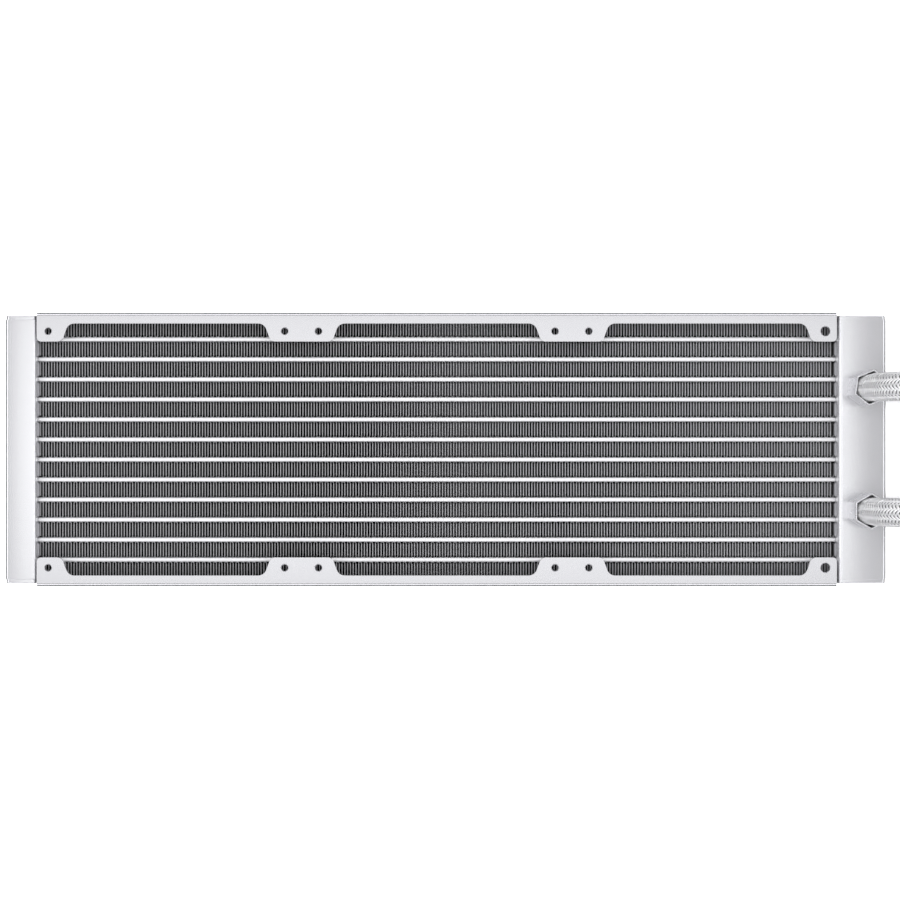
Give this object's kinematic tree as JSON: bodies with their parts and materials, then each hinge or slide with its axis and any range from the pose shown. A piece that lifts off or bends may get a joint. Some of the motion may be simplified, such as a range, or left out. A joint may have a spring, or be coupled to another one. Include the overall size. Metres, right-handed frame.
{
  "type": "liquid cooling radiator",
  "caption": "Long slim aluminium radiator with a tank at each end, flat tubes and folded fins between screw-tabbed side frames, and braided hoses from hex ferrules.",
  "frame": {"origin": "middle of the radiator's own footprint (hoses left out), on the plane of its back flanges", "axes": "+X along the length towards the tank with the ports, +Y across, +Z out of the fan side"},
  "size_m": [0.7385, 0.1216, 0.1294],
  "materials": {
    "painted_silver": "silver-white satin paint",
    "ferrule_silver": "silver satin, bright rim",
    "brazed_aluminium": "bare, brazed, matte",
    "tube_aluminium": "silver-white satin",
    "fin_aluminium": "thin rolled foil, matte",
    "braided_sleeve": "silver braided yarn with a metallic sheen",
    "hose_rubber": "matte black rubber",
    "seal_rubber": "black, slightly greased",
    "fitting_plastic": "moulded black, fine grain"
  },
  "bodies": {
    "root": {"port_tank": "painted_silver", "return_tank": "painted_silver", "port_tank_cap_upper": "painted_silver", "port_tank_cap_lower": "painted_silver", "return_tank_cap_upper": "painted_silver", "return_tank_cap_lower": "painted_silver", "side_frame_upper": "painted_silver", "side_frame_lower": "painted_silver", "port_header": "brazed_aluminium", "return_header": "brazed_aluminium", "core_side_plate_upper": "brazed_aluminium", "core_side_plate_lower": "brazed_aluminium", "port_tank_baffle": "brazed_aluminium", "flat_tube_01": "tube_aluminium", "flat_tube_02": "tube_aluminium", "flat_tube_03": "tube_aluminium", "flat_tube_04": "tube_aluminium", "flat_tube_05": "tube_aluminium", "flat_tube_06": "tube_aluminium", "flat_tube_07": "tube_aluminium", "flat_tube_08": "tube_aluminium", "flat_tube_09": "tube_aluminium", "flat_tube_10": "tube_aluminium", "flat_tube_11": "tube_aluminium", "flat_tube_12": "tube_aluminium", "fin_strip_01": "fin_aluminium", "fin_strip_02": "fin_aluminium", "fin_strip_03": "fin_aluminium", "fin_strip_04": "fin_aluminium", "fin_strip_05": "fin_aluminium", "fin_strip_06": "fin_aluminium", "fin_strip_07": "fin_aluminium", "fin_strip_08": "fin_aluminium", "fin_strip_09": "fin_aluminium", "fin_strip_10": "fin_aluminium", "fin_strip_11": "fin_aluminium", "fin_strip_12": "fin_aluminium", "fin_strip_13": "fin_aluminium", "port_nipple_upper": "brazed_aluminium", "hex_ferrule_upper": "ferrule_silver", "pump_ferrule_upper": "ferrule_silver", "hose_sleeve_upper": "braided_sleeve", "hose_liner_upper": "hose_rubber", "pump_elbow_upper": "fitting_plastic", "seal_rings_upper": "seal_rubber", "port_nipple_lower": "brazed_aluminium", "hex_ferrule_lower": "ferrule_silver", "pump_ferrule_lower": "ferrule_silver", "hose_sleeve_lower": "braided_sleeve", "hose_liner_lower": "hose_rubber", "pump_elbow_lower": "fitting_plastic", "seal_rings_lower": "seal_rubber"}
  },
  "joints": []
}
